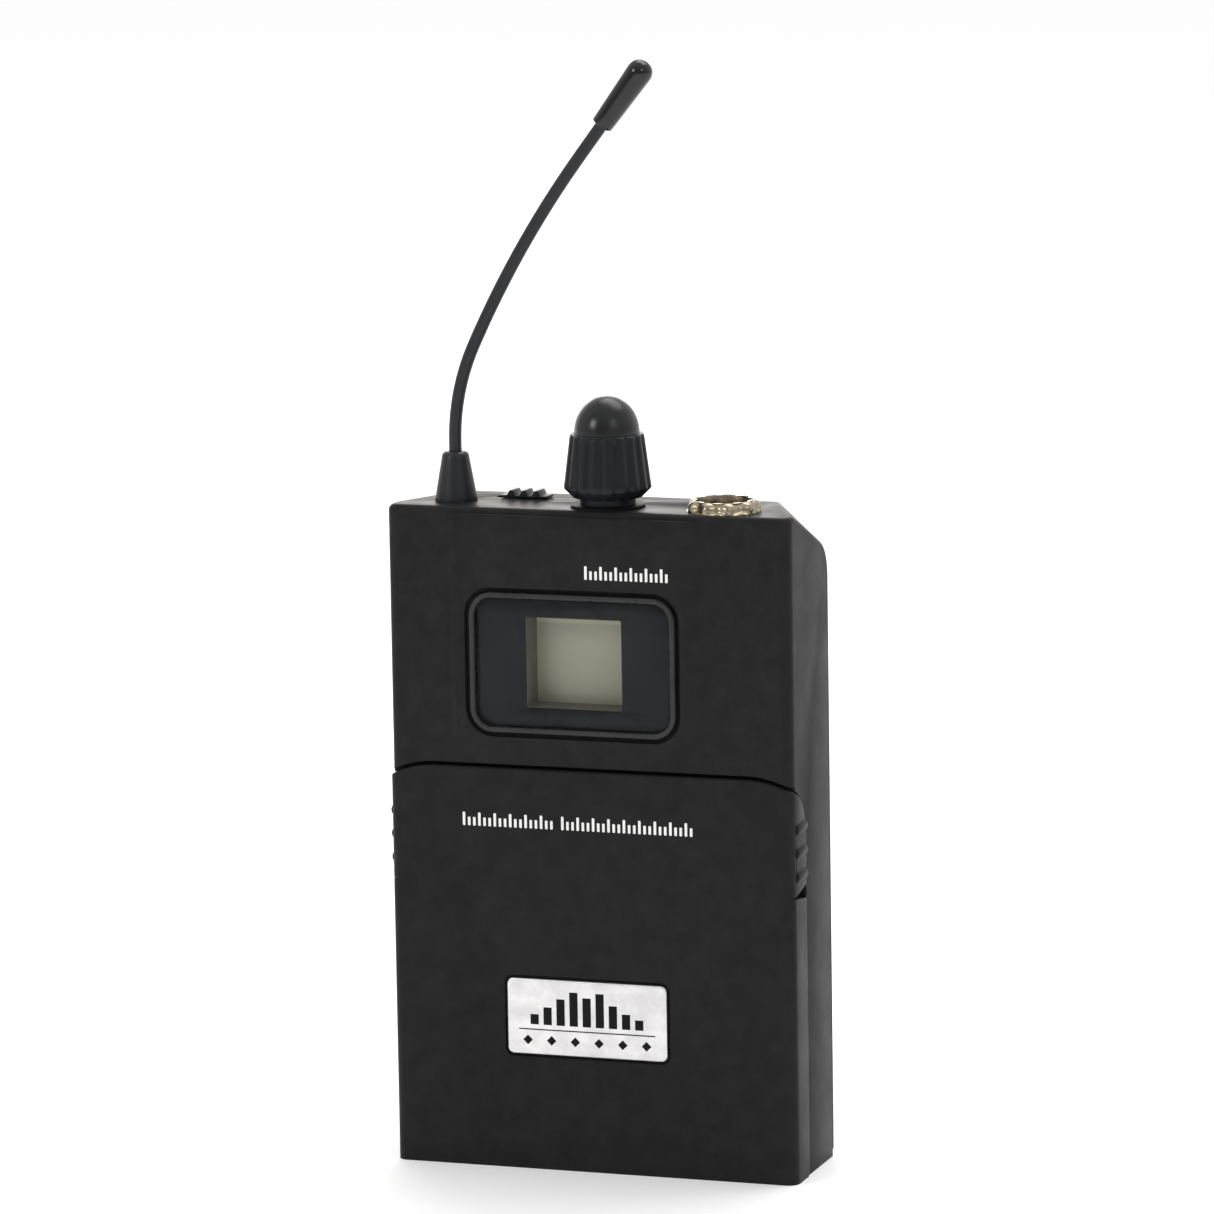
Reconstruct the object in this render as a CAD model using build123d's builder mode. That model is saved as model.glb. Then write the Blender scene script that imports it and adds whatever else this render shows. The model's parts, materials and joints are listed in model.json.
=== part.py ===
from build123d import *
import math
import os

os.makedirs("parts", exist_ok=True)

# A belt-worn wireless transmitter, in millimetres.
# The origin is the centre of the housing's underside. +X is to the right of someone who faces
# the display, +Y goes to the back, and +Z goes up to the antenna.

# ---- driving dimensions ----
BODY_WIDTH = 66.0
BODY_DEPTH = 21.6
BODY_HEIGHT = 104.4
WALL = 1.8

FRONT = -BODY_DEPTH / 2
BACK = BODY_DEPTH / 2
HALF_WIDTH = BODY_WIDTH / 2

# The battery door stands a little proud of the housing on its front and sides.
HOUSING_SIDE = HALF_WIDTH - 0.23
HOUSING_FRONT = FRONT + 0.45
INNER_SIDE = HOUSING_SIDE - WALL
INNER_FRONT = HOUSING_FRONT + WALL
COVER_PLANE = BACK - WALL

FRONT_CORNER = 1.8
REAR_CORNER = 1.5
TOP_REAR_RADIUS = 5.2
TOP_FRONT_RADIUS = 1.0
SHOULDER_FRONT = (HOUSING_SIDE, -8.3)
SHOULDER_REAR = (26.2, 5.6)

# ---- battery door and its seam ----
DOOR_TOP = 63.6
DOOR_ARC = 15.0
DOOR_ARC_X = 25.5
DOOR_INSIDE = FRONT + WALL
FLANGE_INSIDE = HALF_WIDTH - WALL
FLANGE_REAR = -3.9
FLANGE_ARC = 8.0
FLANGE_ARC_CENTRE = (FLANGE_REAR - FLANGE_ARC, 54.14)
SEAM_GAP = 0.6
SIDE_GAP = 0.45
HINGE_Y = -7.2
HINGE_Z = 2.0
HINGE_RADIUS = 1.6
HINGE_PIN_RADIUS = 0.8
BARREL_HALF = 24.6
EAR_INNER = 25.2
EAR_OUTER = 30.6
FLOOR_FRONT = -4.6

# ---- release tabs ----
TAB_BOTTOM_REAR = 46.5
TAB_BOTTOM_FRONT = 45.45
TAB_SEAM = 0.1
TAB_FRONT = DOOR_INSIDE + 0.05
TAB_TRAVEL = 1.0
RIB_HEIGHTS = (55.8, 52.05, 48.3)
RIB_RADIUS = 1.1
RIB_PROUD = 0.4

# ---- battery bay ----
BAY_TOP = 62.6
BULKHEAD_TOP = 64.4
CELL_RADIUS = 7.25
CELL_BODY = 49.5
CELL_NUB_RADIUS = 2.75
CELL_NUB = 1.0
CELL_Y = 0.35
CELL_Z = 6.6
CELL_X = (-19.0, -4.0)
TRAY_LEFT = -27.0
TRAY_RIGHT = 4.2
PANEL_LEFT = 5.4
PANEL_RIGHT = 27.2
PANEL_LOW = 3.5
PANEL_HIGH = 60.2
PANEL_WALL = 1.2
PANEL_FRONT = -3.6
BUTTON_X = 16.3
BUTTON_Z = (42.0, 33.0)
BUTTON_TRAVEL = 0.4

# ---- badge ----
BADGE_CENTRE = (-0.85, 24.45)
BADGE_WIDTH = 26.2
BADGE_HEIGHT = 12.1
BADGE_GROOVE = 0.45
BADGE_FACE = FRONT - 0.25
BADGE_SEAT = FRONT + 0.6

# ---- display ----
DISPLAY_X = -2.3
DISPLAY_Z = 80.4
PLATFORM_FACE = HOUSING_FRONT - 0.8
BEZEL_WIDTH = 33.5
BEZEL_HEIGHT = 22.0
BEZEL_CORNER = 3.7
BEZEL_RIM = 0.85
BEZEL_PROUD = 0.25
GROOVE = 0.75
RECESS_FLOOR = PLATFORM_FACE + 0.85
LCD_X = -2.2
LCD_Z = 80.5
LCD_WIDTH = 15.6
LCD_HEIGHT = 14.2
LCD_FACE = -5.2
LCD_REAR = LCD_FACE + 1.3

# ---- top deck ----
DECK_INSIDE = BODY_HEIGHT - WALL
KNOB_X = 1.6
KNOB_Y = -4.0
SKIRT_BOTTOM = 105.95
SKIRT_TOP = 115.8
SKIRT_RADIUS_LOW = 6.9
SKIRT_RADIUS_HIGH = 5.9
FLUTES = 18
DOME_RADIUS = 5.1
DOME_TOP = 121.6
ANTENNA_X = -23.5
ANTENNA_Y = -3.5
BOOT_RADIUS_LOW = 3.3
BOOT_RADIUS_HIGH = 2.1
BOOT_TOP = 112.1
WHIP_RADIUS = 1.0
WHIP_STRAIGHT = 1.6
WHIP_LOW_BEND = (35.5, 25.0)
WHIP_HIGH_BEND = (165.7, 12.0)
WHIP_END_RUN = 10.2
TIP_LENGTH = 12.3
SWITCH_X = -13.5
SWITCH_Y = 1.2
SWITCH_LENGTH = 7.6
SWITCH_WIDTH = 3.4
SWITCH_TRAVEL = 3.0
SOCKET_X = 20.3
SOCKET_Y = -3.8
RING_RADIUS = 5.7
RING_BORE = 4.5
RING_HEIGHT = 1.7
RING_SLOTS = 9
SHELL_RADIUS = 4.7
SHELL_BORE = 4.1

# ---- electronics ----
BOARD_Y = 3.0
BOARD_THICKNESS = 1.6
BOARD_POSTS = ((-24.0, 69.0), (24.0, 69.0), (-24.0, 90.0), (24.0, 89.0))
CASE_SCREWS = ((-29.3, 8.0), (29.3, 8.0), (-29.3, 90.0), (29.3, 90.0))

# ---- belt clip ----
CLIP_PIN_Y = 15.2
CLIP_PIN_Z = 88.0
CLIP_HALF = 9.0
CLIP_BOTTOM = 28.0
CLIP_SHEET = 1.2

BASE = (Align.CENTER, Align.CENTER, Align.MIN)


def block(low, high, mode=Mode.ADD):
    """A box between two opposite corners."""
    size = [b - a for a, b in zip(low, high)]
    with Locations(tuple((a + b) / 2 for a, b in zip(low, high))):
        return Box(*size, mode=mode)


def rod(start, direction, radius, length, mode=Mode.ADD):
    """A round bar that starts at a point and runs along a direction."""
    with Locations(Plane(origin=start, z_dir=direction)):
        return Cylinder(radius, length, align=BASE, mode=mode)


def facing_front(y):
    """A sketch plane at depth y: local x is right, local y is up, the normal points to the front."""
    return Plane(origin=(0, y, 0), x_dir=(1, 0, 0), z_dir=(0, -1, 0))


def facing_side(x):
    """A sketch plane at width x: local x is to the back, local y is up, the normal is +X."""
    return Plane(origin=(x, 0, 0), x_dir=(0, 1, 0), z_dir=(1, 0, 0))


def edges_at(part, *tests):
    """The edges of a part whose centre passes every test."""
    return part.edges().filter_by(lambda edge: all(test(edge.center()) for test in tests))


def rounded_plate(y, centre, width, height, corner, depth, mode=Mode.ADD):
    """A rounded rectangle seen from the front, extruded from depth y to the back."""
    with BuildSketch(facing_front(y)) as outline:
        with Locations(centre):
            RectangleRounded(width, height, corner)
    return extrude(outline.sketch, amount=-depth, mode=mode)


def front_opening(plane, gap):
    """Front view of the door: a flat top that falls away in an arc at each side."""
    radius = DOOR_ARC + gap
    centre_z = DOOR_TOP - DOOR_ARC
    low = -10.0
    with BuildSketch(plane) as outline:
        with BuildLine():
            right = CenterArc((DOOR_ARC_X, centre_z), radius, 20, 70)
            left = CenterArc((-DOOR_ARC_X, centre_z), radius, 90, 70)
            Line(right @ 1, left @ 0)
            Polyline(right @ 0, ((right @ 0).X, low), ((left @ 1).X, low), left @ 1)
        make_face()
    return outline.sketch


def side_opening(plane, gap):
    """Side view of the door's flange: vertical at the rear, rounded over at the top."""
    centre_y, centre_z = FLANGE_ARC_CENTRE
    radius = FLANGE_ARC + gap
    low = -10.0
    with BuildSketch(plane) as outline:
        with BuildLine():
            arc = CenterArc((centre_y, centre_z), radius, 0, 90)
            far = centre_y - radius
            Polyline(arc @ 0, ((arc @ 0).X, low), (far, low), (far, (arc @ 1).Y), arc @ 1)
        make_face()
    return outline.sketch


# ---- outer shape shared by the housing and the rear cover ----
shoulder_start = Vector(SHOULDER_FRONT[0], SHOULDER_FRONT[1], BODY_HEIGHT)
shoulder_end = Vector(SHOULDER_REAR[0], SHOULDER_REAR[1], BODY_HEIGHT)
shoulder_run = (shoulder_end - shoulder_start).normalized()
shoulder_out = Vector(shoulder_run.Y, -shoulder_run.X, 0)
SHOULDER_CUT = 14.0

with BuildPart() as shoulder:
    with BuildSketch(
        Plane(origin=shoulder_start - shoulder_run * 6, x_dir=shoulder_out, z_dir=shoulder_run)
    ):
        with BuildLine():
            Polyline((0, 0), (SHOULDER_CUT, 0), (SHOULDER_CUT, SHOULDER_CUT), (0, 0))
        make_face()
    extrude(amount=40)

with BuildPart() as envelope:
    block((-HOUSING_SIDE, HOUSING_FRONT, 0), (HOUSING_SIDE, BACK, BODY_HEIGHT))
    add(shoulder.part, mode=Mode.SUBTRACT)
    mirror(shoulder.part, about=Plane.YZ, mode=Mode.SUBTRACT)
    fillet(edges_at(envelope.part, lambda c: c.Z > 90, lambda c: abs(c.Y - BACK) < 0.01), TOP_REAR_RADIUS)
    fillet(
        edges_at(envelope.part, lambda c: abs(abs(c.X) - HOUSING_SIDE) < 0.01, lambda c: c.Y > 10),
        REAR_CORNER,
    )
    fillet(
        edges_at(envelope.part, lambda c: abs(abs(c.X) - HOUSING_SIDE) < 0.01, lambda c: c.Y < -10.34),
        FRONT_CORNER,
    )

# ---- main housing: upper front, top deck, sides, bulkhead and floor ----
with BuildPart() as platform:
    with BuildSketch(facing_front(HOUSING_FRONT + 0.3)) as platform_foot:
        with Locations((-1.85, 87.0)):
            RectangleRounded(42.1, 40.2, 5.0)
    with BuildSketch(facing_front(PLATFORM_FACE)):
        with Locations((-2.55, 87.5)):
            RectangleRounded(37.9, 37.6, 4.2)
    loft(ruled=True)
    block((-40, -20, BODY_HEIGHT - 0.9), (40, 0, BODY_HEIGHT + 10), mode=Mode.SUBTRACT)

with BuildPart() as main_housing:
    add(envelope.part)
    fillet(
        edges_at(main_housing.part, lambda c: c.Z > BODY_HEIGHT - 0.01, lambda c: c.Y < HOUSING_FRONT + 0.01),
        TOP_FRONT_RADIUS,
    )
    add(platform.part)
    block((-40, COVER_PLANE, -1), (40, BACK + 1, BODY_HEIGHT + 1), mode=Mode.SUBTRACT)
    # battery bay, open to the front and to the rear
    block((-INNER_SIDE, -20, WALL), (INNER_SIDE, 20, BAY_TOP), mode=Mode.SUBTRACT)
    # electronics space, lower at the shoulders and along the rounded rear edge
    block((-INNER_SIDE, INNER_FRONT, BULKHEAD_TOP), (INNER_SIDE, 20, 95.0), mode=Mode.SUBTRACT)
    block((-26.0, INNER_FRONT, 94.0), (26.0, 5.0, DECK_INSIDE), mode=Mode.SUBTRACT)
    block((-24.0, 4.0, 94.0), (24.0, 20, 100.4), mode=Mode.SUBTRACT)
    # the door's opening in the front and in both sides
    extrude(front_opening(facing_front(DOOR_INSIDE + 0.25), SEAM_GAP), amount=12, mode=Mode.SUBTRACT)
    extrude(side_opening(facing_side(INNER_SIDE - 1.0), SIDE_GAP), amount=8, mode=Mode.SUBTRACT)
    extrude(side_opening(facing_side(-INNER_SIDE + 1.0), SIDE_GAP), amount=-8, mode=Mode.SUBTRACT)
    block((-40, -20, -1), (40, FLOOR_FRONT, 5.0), mode=Mode.SUBTRACT)
    # hinge barrel on a web from the floor's front edge
    block((-BARREL_HALF, FLOOR_FRONT, 0.6), (BARREL_HALF, FLOOR_FRONT + 1.4, 3.4))
    block((-BARREL_HALF, HINGE_Y, HINGE_Z), (BARREL_HALF, FLOOR_FRONT + 0.2, HINGE_Z + 1.4))
    rod((-BARREL_HALF, HINGE_Y, HINGE_Z), (1, 0, 0), HINGE_RADIUS, 2 * BARREL_HALF)
    for side in (-1, 1):
        rod((side * 18.0, HINGE_Y, HINGE_Z), (side, 0, 0), HINGE_PIN_RADIUS, 8.0, mode=Mode.SUBTRACT)
    # bosses for the case screws
    for x, z in CASE_SCREWS:
        rod((x, 1.0, z), (0, 1, 0), 1.9, COVER_PLANE - 1.0)
        rod((x, 2.0, z), (0, 1, 0), 0.85, 10.0, mode=Mode.SUBTRACT)
    # posts for the main board
    for x, z in BOARD_POSTS:
        rod((x, INNER_FRONT - 0.2, z), (0, 1, 0), 2.0, BOARD_Y - INNER_FRONT + 0.2)
        rod((x, -4.0, z), (0, 1, 0), 0.85, 10.0, mode=Mode.SUBTRACT)
    # display recess with its groove, and the window behind it
    rounded_plate(
        PLATFORM_FACE - 1.0,
        (DISPLAY_X, DISPLAY_Z),
        BEZEL_WIDTH + 2 * GROOVE,
        BEZEL_HEIGHT + 2 * GROOVE,
        BEZEL_CORNER + GROOVE,
        2.0,
        mode=Mode.SUBTRACT,
    )
    rounded_plate(-12.0, (LCD_X, LCD_Z), 21.2, 17.0, 1.0, 6.0, mode=Mode.SUBTRACT)
    # holes in the top deck
    rod((KNOB_X, KNOB_Y, 100), (0, 0, 1), 3.05, 10, mode=Mode.SUBTRACT)
    rod((ANTENNA_X, ANTENNA_Y, 100), (0, 0, 1), 1.55, 10, mode=Mode.SUBTRACT)
    rod((SOCKET_X, SOCKET_Y, 100), (0, 0, 1), SHELL_RADIUS + 0.05, 10, mode=Mode.SUBTRACT)
    block(
        (SWITCH_X - 1.8 - SWITCH_TRAVEL, SWITCH_Y - 0.9, 100),
        (SWITCH_X + 1.8, SWITCH_Y + 0.9, 110),
        mode=Mode.SUBTRACT,
    )
main_housing.part.label = "main_housing"
export_step(main_housing.part, "parts/main_housing.step")

# ---- rear cover ----
with BuildPart() as rear_cover:
    add(envelope.part)
    block((-40, -20, -1), (40, COVER_PLANE, BODY_HEIGHT + 1), mode=Mode.SUBTRACT)
    fillet(edges_at(rear_cover.part, lambda c: c.Z < 0.01, lambda c: c.Y > BACK - 0.01), 1.5)
    for x, z in CASE_SCREWS:
        rod((x, COVER_PLANE - 1, z), (0, 1, 0), 1.05, 5, mode=Mode.SUBTRACT)
        rod((x, BACK - 1.2, z), (0, 1, 0), 2.05, 5, mode=Mode.SUBTRACT)
    for x in (-5.0, 5.0):
        rod((x, COVER_PLANE - 1, 80.5), (0, 1, 0), 1.1, 5, mode=Mode.SUBTRACT)
rear_cover.part.label = "rear_cover"
export_step(rear_cover.part, "parts/rear_cover.step")

with BuildPart() as case_screws:
    for x, z in CASE_SCREWS:
        rod((x, 4.0, z), (0, 1, 0), 0.8, BACK - 1.2 - 4.0)
        rod((x, BACK - 1.2, z), (0, 1, 0), 1.9, 1.0)
        with Locations(Plane(origin=(x, BACK - 0.2, z), z_dir=(0, -1, 0))):
            Box(2.4, 0.5, 0.5, align=BASE, mode=Mode.SUBTRACT)
            Box(0.5, 2.4, 0.5, align=BASE, mode=Mode.SUBTRACT)
case_screws.part.label = "case_screws"
export_step(case_screws.part, "parts/case_screws.step")

# ---- battery door ----
with BuildPart() as battery_door:
    block((-HALF_WIDTH, FRONT, 0), (HALF_WIDTH, FLANGE_REAR, DOOR_TOP + 1))
    fillet(
        edges_at(battery_door.part, lambda c: abs(c.Y - FRONT) < 0.01, lambda c: abs(c.X) > 32),
        FRONT_CORNER,
    )
    block((-FLANGE_INSIDE, DOOR_INSIDE, -1), (FLANGE_INSIDE, 0, DOOR_TOP + 5), mode=Mode.SUBTRACT)
    extrude(front_opening(facing_front(0), 0), amount=20, mode=Mode.INTERSECT)
    # the upper part of each flange is the release tab's place
    for side in (-1, 1):
        inner, outer = sorted((side * (FLANGE_INSIDE - 0.01), side * 40))
        block((inner, DOOR_INSIDE - TAB_SEAM, 50), (outer, 0, 80), mode=Mode.SUBTRACT)
        with BuildSketch(facing_side(inner)) as notch:
            with BuildLine():
                Polyline((-9.15, 45.0), (-3.0, 44.15), (-3.0, 51), (-9.15, 51), close=True)
            make_face()
        extrude(notch.sketch, amount=outer - inner, mode=Mode.SUBTRACT)
        # a thin wedge of shadow under the tab that runs out at the front corner
        with BuildSketch(facing_side(inner)) as wedge:
            with BuildLine():
                Polyline((-10.5, 45.22), (-9.0, 45.0), (-9.0, 45.45), close=True)
            make_face()
        extrude(wedge.sketch, amount=outer - inner, mode=Mode.SUBTRACT)
    # lower rear corner of each flange is rounded about the hinge so that it clears the housing
    with BuildSketch(facing_side(-HALF_WIDTH)) as heel:
        with Locations(((HINGE_Y + 5, HINGE_Z - 5))):
            Rectangle(10, 10)
        with Locations((HINGE_Y, HINGE_Z)):
            Circle(FLANGE_REAR - HINGE_Y, mode=Mode.SUBTRACT)
    extrude(heel.sketch, amount=BODY_WIDTH, mode=Mode.SUBTRACT)
    # hinge ears
    for side in (-1, 1):
        inner, outer = sorted((side * EAR_INNER, side * EAR_OUTER))
        block((inner, DOOR_INSIDE - 0.1, 0.6), (outer, HINGE_Y, 3.4))
        rod((side * EAR_INNER, HINGE_Y, HINGE_Z), (side, 0, 0), HINGE_RADIUS, EAR_OUTER - EAR_INNER)
        rod((side * 24, HINGE_Y, HINGE_Z), (side, 0, 0), HINGE_PIN_RADIUS + 0.05, 6.65, mode=Mode.SUBTRACT)
    # seat for the badge plate
    rounded_plate(
        BADGE_SEAT - 1.6,
        BADGE_CENTRE,
        BADGE_WIDTH + 2 * BADGE_GROOVE,
        BADGE_HEIGHT + 2 * BADGE_GROOVE,
        1.4,
        1.6,
        mode=Mode.SUBTRACT,
    )
    fillet(
        edges_at(battery_door.part, lambda c: c.Y < FRONT + 0.01, lambda c: c.Z > 61, lambda c: abs(c.X) < 20),
        0.35,
    )
battery_door.part.label = "battery_door"
export_step(battery_door.part, "parts/battery_door.step")

with BuildPart() as hinge_pins:
    for side in (-1, 1):
        rod((side * 18.2, HINGE_Y, HINGE_Z), (side, 0, 0), HINGE_PIN_RADIUS, 12.2)
hinge_pins.part.label = "hinge_pins"
export_step(hinge_pins.part, "parts/hinge_pins.step")

# ---- release tabs ----
for name, side in (("left", -1), ("right", 1)):
    with BuildPart() as release_tab:
        inner, outer = sorted((side * (FLANGE_INSIDE + 0.05), side * HALF_WIDTH))
        with BuildSketch(facing_side(inner)) as blade:
            with BuildLine():
                centre_y, centre_z = FLANGE_ARC_CENTRE
                rise = math.degrees(math.acos((TAB_FRONT - centre_y) / FLANGE_ARC))
                arc = CenterArc((centre_y, centre_z), FLANGE_ARC, 0, rise)
                Polyline(
                    arc @ 0,
                    (FLANGE_REAR, TAB_BOTTOM_REAR),
                    (TAB_FRONT, TAB_BOTTOM_FRONT),
                    arc @ 1,
                )
            make_face()
        extrude(blade.sketch, amount=outer - inner)
        for z in RIB_HEIGHTS:
            centre = side * (HALF_WIDTH + RIB_PROUD - RIB_RADIUS)
            rod((centre, DOOR_INSIDE + 0.1, z), (0, 1, 0), RIB_RADIUS, FLANGE_REAR - DOOR_INSIDE - 0.4)
        # hook that reaches behind the housing wall
        hook_inner, hook_outer = sorted((side * 30.0, side * 30.8))
        neck_inner, neck_outer = sorted((side * 30.0, side * 31.4))
        block((hook_inner, -5.6, 50.0), (hook_outer, -1.4, 54.0))
        block((neck_inner, -5.6, 50.0), (neck_outer, -4.2, 54.0))
    release_tab.part.label = "release_tab_" + name
    export_step(release_tab.part, f"parts/release_tab_{name}.step")

# ---- badge ----
with BuildPart() as badge_plate:
    rounded_plate(BADGE_FACE, BADGE_CENTRE, BADGE_WIDTH, BADGE_HEIGHT, 1.0, BADGE_SEAT - BADGE_FACE)
    fillet(edges_at(badge_plate.part, lambda c: c.Y < BADGE_FACE + 0.01), 0.3)
badge_plate.part.label = "badge_plate"
export_step(badge_plate.part, "parts/badge_plate.step")

# A row of level bars over a thin rule and six small marks: a plain pattern that stands for no name.
LEVEL_BARS = (1.6, 2.8, 4.2, 5.4, 4.6, 5.4, 3.6, 2.4, 1.6)
LEVEL_PITCH = 2.15
LEVEL_LOW = BADGE_CENTRE[1] - 1.2
with BuildPart() as badge_emblem:
    with BuildSketch(facing_front(BADGE_FACE)) as bars:
        for index, height in enumerate(LEVEL_BARS):
            offset = LEVEL_PITCH * (index - (len(LEVEL_BARS) - 1) / 2)
            with Locations((BADGE_CENTRE[0] + offset, LEVEL_LOW + height / 2)):
                Rectangle(1.35, height)
        with Locations((BADGE_CENTRE[0], BADGE_CENTRE[1] - 2.0)):
            Rectangle(22.4, 0.18)
        with Locations((BADGE_CENTRE[0], BADGE_CENTRE[1] - 3.7)):
            with GridLocations(3.9, 1, 6, 1):
                Rectangle(1.1, 1.1, rotation=45)
    extrude(bars.sketch, amount=0.06)
badge_emblem.part.label = "badge_emblem"
export_step(badge_emblem.part, "parts/badge_emblem.step")

# ---- battery bay contents ----
with BuildPart() as battery_tray:
    block((TRAY_LEFT, 7.8, WALL), (TRAY_RIGHT, COVER_PLANE, 60.2))
    block((TRAY_LEFT, -3.1, WALL), (TRAY_RIGHT, 7.9, 3.0))
    block((TRAY_LEFT, -6.0, 59.0), (TRAY_RIGHT, 7.9, 60.2))
    divider = (CELL_X[0] + CELL_X[1]) / 2
    block((divider - 0.6, 3.6, 2.9), (divider + 0.6, 7.9, 59.1))
    for x in CELL_X:
        rod((x, CELL_Y, 3.0), (0, 0, 1), CELL_RADIUS + 0.25, 56.0, mode=Mode.SUBTRACT)
battery_tray.part.label = "battery_tray"
export_step(battery_tray.part, "parts/battery_tray.step")

for name, x, nub_up in (("left", CELL_X[0], True), ("right", CELL_X[1], False)):
    with BuildPart() as cell:
        low = CELL_Z + (0 if nub_up else CELL_NUB)
        rod((x, CELL_Y, low), (0, 0, 1), CELL_RADIUS, CELL_BODY)
        fillet(cell.edges().filter_by(GeomType.CIRCLE), 0.6)
        nub = CELL_Z + CELL_BODY - 0.1 if nub_up else CELL_Z
        rod((x, CELL_Y, nub), (0, 0, 1), CELL_NUB_RADIUS, CELL_NUB + 0.1)
    cell.part.label = "battery_cell_" + name
    export_step(cell.part, f"parts/battery_cell_{name}.step")

SPRING_WIRE = 0.4
CELL_TOP = CELL_Z + CELL_BODY + CELL_NUB
SPRING_FREE = ((CELL_X[0], 3.45, CELL_Z), (CELL_X[1], CELL_TOP, 58.55))
with BuildPart() as battery_springs:
    for x, low, high in SPRING_FREE:
        with BuildLine() as coil:
            start = (x, CELL_Y, low + SPRING_WIRE)
            height = high - low - 2 * SPRING_WIRE
            Helix(pitch=height / 2.5, height=height, radius=3.4, center=start)
        with BuildSketch(Plane(origin=coil.line @ 0, z_dir=coil.line % 0)):
            Circle(SPRING_WIRE)
        sweep(path=coil.line)
battery_springs.part.label = "battery_springs"
export_step(battery_springs.part, "parts/battery_springs.step")

with BuildPart() as battery_contacts:
    for x in CELL_X:
        block((x - 4.5, CELL_Y - 3.4, 3.0), (x + 4.5, CELL_Y + 4.5, 3.4))
        block((x - 4.5, CELL_Y - 4.5, 58.6), (x + 4.5, CELL_Y + 4.5, 59.0))
    block((CELL_X[0] - 2.0, CELL_Y - 2.0, CELL_TOP), (CELL_X[0] + 2.0, CELL_Y + 2.0, 58.7))
    block((CELL_X[1] - 2.0, CELL_Y - 2.0, 3.3), (CELL_X[1] + 2.0, CELL_Y + 2.0, CELL_Z))
battery_contacts.part.label = "battery_contacts"
export_step(battery_contacts.part, "parts/battery_contacts.step")

# ---- control panel beside the cells ----
with BuildPart() as control_panel:
    block((PANEL_LEFT, PANEL_FRONT, PANEL_LOW), (PANEL_RIGHT, COVER_PLANE, PANEL_HIGH))
    block(
        (PANEL_LEFT + PANEL_WALL, PANEL_FRONT + PANEL_WALL, PANEL_LOW + PANEL_WALL),
        (PANEL_RIGHT - PANEL_WALL, 20, PANEL_HIGH - PANEL_WALL),
        mode=Mode.SUBTRACT,
    )
    fillet(edges_at(control_panel.part, lambda c: c.Y < PANEL_FRONT + 0.01), 0.5)
    for z in BUTTON_Z:
        rod((BUTTON_X, PANEL_FRONT - 1, z), (0, 1, 0), 2.8, 4, mode=Mode.SUBTRACT)
control_panel.part.label = "control_panel"
export_step(control_panel.part, "parts/control_panel.step")

BUTTON_BOARD_Y = 2.4
with BuildPart() as control_board:
    block(
        (PANEL_LEFT + PANEL_WALL, BUTTON_BOARD_Y, PANEL_LOW + PANEL_WALL),
        (PANEL_RIGHT - PANEL_WALL, BUTTON_BOARD_Y + 1.2, PANEL_HIGH - PANEL_WALL),
    )
control_board.part.label = "control_board"
export_step(control_board.part, "parts/control_board.step")

with BuildPart() as tact_switches:
    for z in BUTTON_Z:
        block((BUTTON_X - 3, BUTTON_BOARD_Y - 1.6, z - 3), (BUTTON_X + 3, BUTTON_BOARD_Y, z + 3))
        rod((BUTTON_X, BUTTON_BOARD_Y - 2.1, z), (0, 1, 0), 1.5, 0.6)
tact_switches.part.label = "tact_switches"
export_step(tact_switches.part, "parts/tact_switches.step")

BUTTON_REAR = BUTTON_BOARD_Y - 2.1 - BUTTON_TRAVEL - 0.1
for name, z in (("up", BUTTON_Z[0]), ("down", BUTTON_Z[1])):
    with BuildPart() as set_button:
        rod((BUTTON_X, PANEL_FRONT - 0.8, z), (0, 1, 0), 2.5, 2.0)
        rod((BUTTON_X, PANEL_FRONT + 1.65, z), (0, 1, 0), 3.4, 0.6)
        rod((BUTTON_X, PANEL_FRONT + 1.0, z), (0, 1, 0), 1.6, BUTTON_REAR - PANEL_FRONT - 1.0)
        fillet(edges_at(set_button.part, lambda c: c.Y < PANEL_FRONT - 0.79), 0.4)
    set_button.part.label = "set_button_" + name
    export_step(set_button.part, f"parts/set_button_{name}.step")

# ---- display stack ----
with BuildPart() as display_bezel:
    bezel_face = PLATFORM_FACE - BEZEL_PROUD
    bezel_depth = RECESS_FLOOR - bezel_face
    centre = (DISPLAY_X, DISPLAY_Z)
    rounded_plate(bezel_face, centre, BEZEL_WIDTH, BEZEL_HEIGHT, BEZEL_CORNER, bezel_depth)
    rounded_plate(
        bezel_face - 1,
        centre,
        BEZEL_WIDTH - 2 * BEZEL_RIM,
        BEZEL_HEIGHT - 2 * BEZEL_RIM,
        BEZEL_CORNER - BEZEL_RIM,
        bezel_depth + 2,
        mode=Mode.SUBTRACT,
    )
    fillet(edges_at(display_bezel.part, lambda c: c.Y < bezel_face + 0.01), 0.3)
display_bezel.part.label = "display_bezel"
export_step(display_bezel.part, "parts/display_bezel.step")

WINDOW_SIZE = (BEZEL_WIDTH - 2 * BEZEL_RIM - 0.1, BEZEL_HEIGHT - 2 * BEZEL_RIM - 0.1)
WINDOW_CORNER = BEZEL_CORNER - BEZEL_RIM - 0.05
MASK_THICKNESS = 0.2
with BuildPart() as display_window:
    window_depth = RECESS_FLOOR - MASK_THICKNESS - PLATFORM_FACE - 0.02
    rounded_plate(PLATFORM_FACE, centre, *WINDOW_SIZE, WINDOW_CORNER, window_depth)
display_window.part.label = "display_window"
export_step(display_window.part, "parts/display_window.step")

with BuildPart() as display_mask:
    mask_face = RECESS_FLOOR - MASK_THICKNESS
    rounded_plate(mask_face, centre, *WINDOW_SIZE, WINDOW_CORNER, MASK_THICKNESS)
    rounded_plate(mask_face - 1, (LCD_X, LCD_Z), LCD_WIDTH, LCD_HEIGHT, 0.3, 3, mode=Mode.SUBTRACT)
display_mask.part.label = "display_mask"
export_step(display_mask.part, "parts/display_mask.step")

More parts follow.
